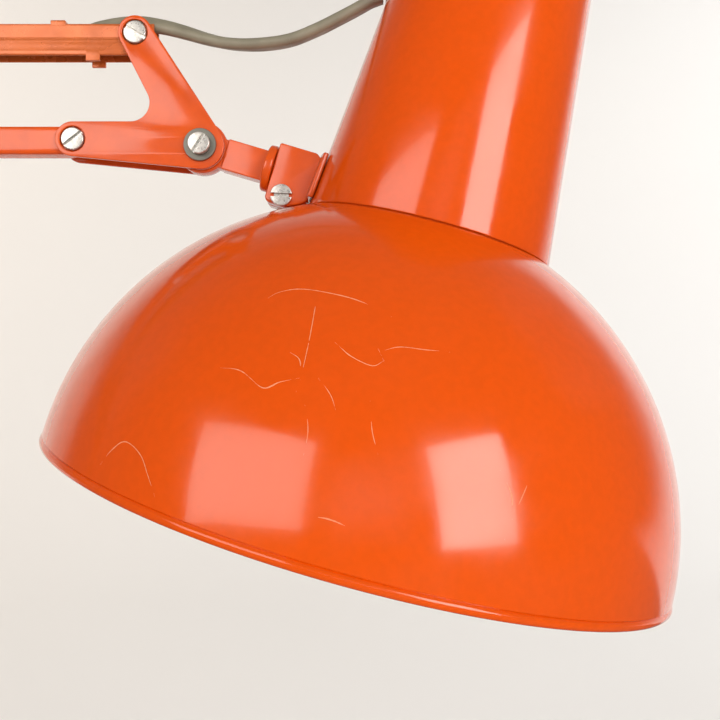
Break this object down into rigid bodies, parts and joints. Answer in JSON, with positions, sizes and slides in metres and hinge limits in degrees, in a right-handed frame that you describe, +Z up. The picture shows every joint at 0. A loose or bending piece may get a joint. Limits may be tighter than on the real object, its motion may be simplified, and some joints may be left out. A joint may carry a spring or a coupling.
{
  "type": "architect desk lamp",
  "caption": "Articulated desk lamp: weighted round base, two sprung parallelogram arms, and a domed shade with a tapering neck that tilts and swivels.",
  "frame": {"origin": "centre of the base's underside", "axes": "+X is the reach, from the base towards the shade at rest; +Z is up; the arms move in the plane y = 0"},
  "size_m": [0.73, 0.2617, 0.5406],
  "materials": {
    "orange_enamel": "gloss",
    "orange_satin": "satin",
    "zinc_steel": "bright zinc plate",
    "spring_steel": "drawn wire",
    "cast_iron": "as cast",
    "felt": "felted",
    "grey_vinyl": "satin",
    "black_plastic": "moulded",
    "nylon": "satin",
    "bakelite": "gloss",
    "opal_glass": "opal"
  },
  "bodies": {
    "base": {"base_felt": "felt", "base_weight": "cast_iron", "base_cover": "orange_enamel", "base_bushing": "black_plastic", "base_grommet": "black_plastic", "cord_tail": "grey_vinyl", "cord_coil": "grey_vinyl", "cord_end": "grey_vinyl", "plug": "black_plastic"},
    "turret": {"turret_spindle": "orange_satin", "yoke_plate_front": "orange_satin", "yoke_plate_rear": "orange_satin", "yoke_screw_main": "zinc_steel", "yoke_screw_link": "zinc_steel", "yoke_screw_foot": "zinc_steel", "lower_spring_anchor": "zinc_steel", "turret_grommet": "black_plastic", "cord_base_loop": "grey_vinyl"},
    "lower_channel": {"lower_channel_bar": "orange_satin", "lower_spring_pin": "zinc_steel", "lower_spring_front": "spring_steel", "lower_spring_rear": "spring_steel", "cord_lower_run": "grey_vinyl"},
    "lower_link": {"lower_link_bar": "orange_satin"},
    "elbow": {"elbow_plate_front": "orange_satin", "elbow_plate_rear": "orange_satin", "elbow_screw_lower_main": "zinc_steel", "elbow_screw_lower_link": "zinc_steel", "elbow_screw_upper_main": "zinc_steel", "elbow_screw_upper_link": "zinc_steel", "upper_spring_anchor": "zinc_steel"},
    "upper_channel": {"upper_channel_bar": "orange_satin", "upper_spring_pin": "zinc_steel", "upper_spring_front": "spring_steel", "upper_spring_rear": "spring_steel", "cord_upper_run": "grey_vinyl"},
    "upper_link": {"upper_link_bar": "orange_satin"},
    "head_bracket": {"head_plate_front": "orange_satin", "head_plate_rear": "orange_satin", "head_screw_upper": "zinc_steel", "head_screw_lower": "zinc_steel", "tilt_bolt": "zinc_steel", "tilt_washer": "zinc_steel", "tilt_nut": "zinc_steel", "cord_head_loop_a": "grey_vinyl"},
    "stub": {"tilt_stub": "orange_satin", "friction_washer_front": "nylon", "friction_washer_rear": "nylon", "cord_head_loop_b": "grey_vinyl"},
    "shade": {"shade_dome": "orange_enamel", "shade_neck": "orange_enamel", "neck_cap": "orange_enamel", "knuckle_clamp": "orange_satin", "clamp_screw": "zinc_steel", "clamp_nut": "zinc_steel", "neck_grommet": "grey_vinyl", "lamp_socket": "bakelite", "bulb": "opal_glass", "cord_head_loop_c": "grey_vinyl"},
    "switch": {"switch_button": "black_plastic"}
  },
  "joints": [
    {"name": "base_swivel", "type": "hinge", "parent": "base", "child": "turret", "pos_m": [0, 0, 0.03], "axis": [0, 0, 1], "range_deg": [-175, 175]},
    {"name": "lower_arm_pitch", "type": "hinge", "parent": "turret", "child": "lower_channel", "pos_m": [0, 0, 0.075], "axis": [0, 1, 0], "range_deg": [-20, 45], "deforming": ["cord_base_loop", "lower_spring_front", "lower_spring_rear"]},
    {"name": "lower_link_follow", "type": "hinge", "parent": "turret", "child": "lower_link", "pos_m": [-0.03, 0, 0.085], "axis": [0, 1, 0], "range_deg": [-20, 45]},
    {"name": "elbow_level", "type": "hinge", "parent": "lower_channel", "child": "elbow", "pos_m": [-0.13681, 0, 0.45088], "axis": [0, 1, 0], "range_deg": [-45, 20], "deforming": ["cord_lower_run"]},
    {"name": "upper_arm_pitch", "type": "hinge", "parent": "elbow", "child": "upper_channel", "pos_m": [-0.09181, 0, 0.48738], "axis": [0, 1, 0], "range_deg": [-35, 35], "deforming": ["cord_upper_run", "upper_spring_front", "upper_spring_rear"]},
    {"name": "upper_link_follow", "type": "hinge", "parent": "elbow", "child": "upper_link", "pos_m": [-0.11081, 0, 0.45488], "axis": [0, 1, 0], "range_deg": [-35, 35]},
    {"name": "head_level", "type": "hinge", "parent": "upper_channel", "child": "head_bracket", "pos_m": [0.30819, 0, 0.48738], "axis": [0, 1, 0], "range_deg": [-35, 35], "deforming": ["cord_head_loop_a"]},
    {"name": "head_tilt", "type": "hinge", "parent": "head_bracket", "child": "stub", "pos_m": [0.32819, 0, 0.45288], "axis": [0, 1, 0], "range_deg": [-60, 40], "deforming": ["cord_head_loop_b"]},
    {"name": "head_swivel", "type": "hinge", "parent": "stub", "child": "shade", "pos_m": [0.35024, 0, 0.44634], "axis": [0.9588, 0, -0.284], "range_deg": [-90, 90], "deforming": ["cord_head_loop_c"]},
    {"name": "switch_press", "type": "slide", "parent": "shade", "child": "switch", "axis": [-0.2588, 0, -0.9659], "range_m": [0, 0.0025], "stiffness_N_per_m": 400, "springref_m": -0.002}
  ],
  "couplings": [
    {"joint": "elbow_level", "follows": "lower_arm_pitch", "ratio": -1},
    {"joint": "lower_link_follow", "follows": "lower_arm_pitch", "ratio": 1},
    {"joint": "head_level", "follows": "upper_arm_pitch", "ratio": -1},
    {"joint": "upper_link_follow", "follows": "upper_arm_pitch", "ratio": 1}
  ]
}
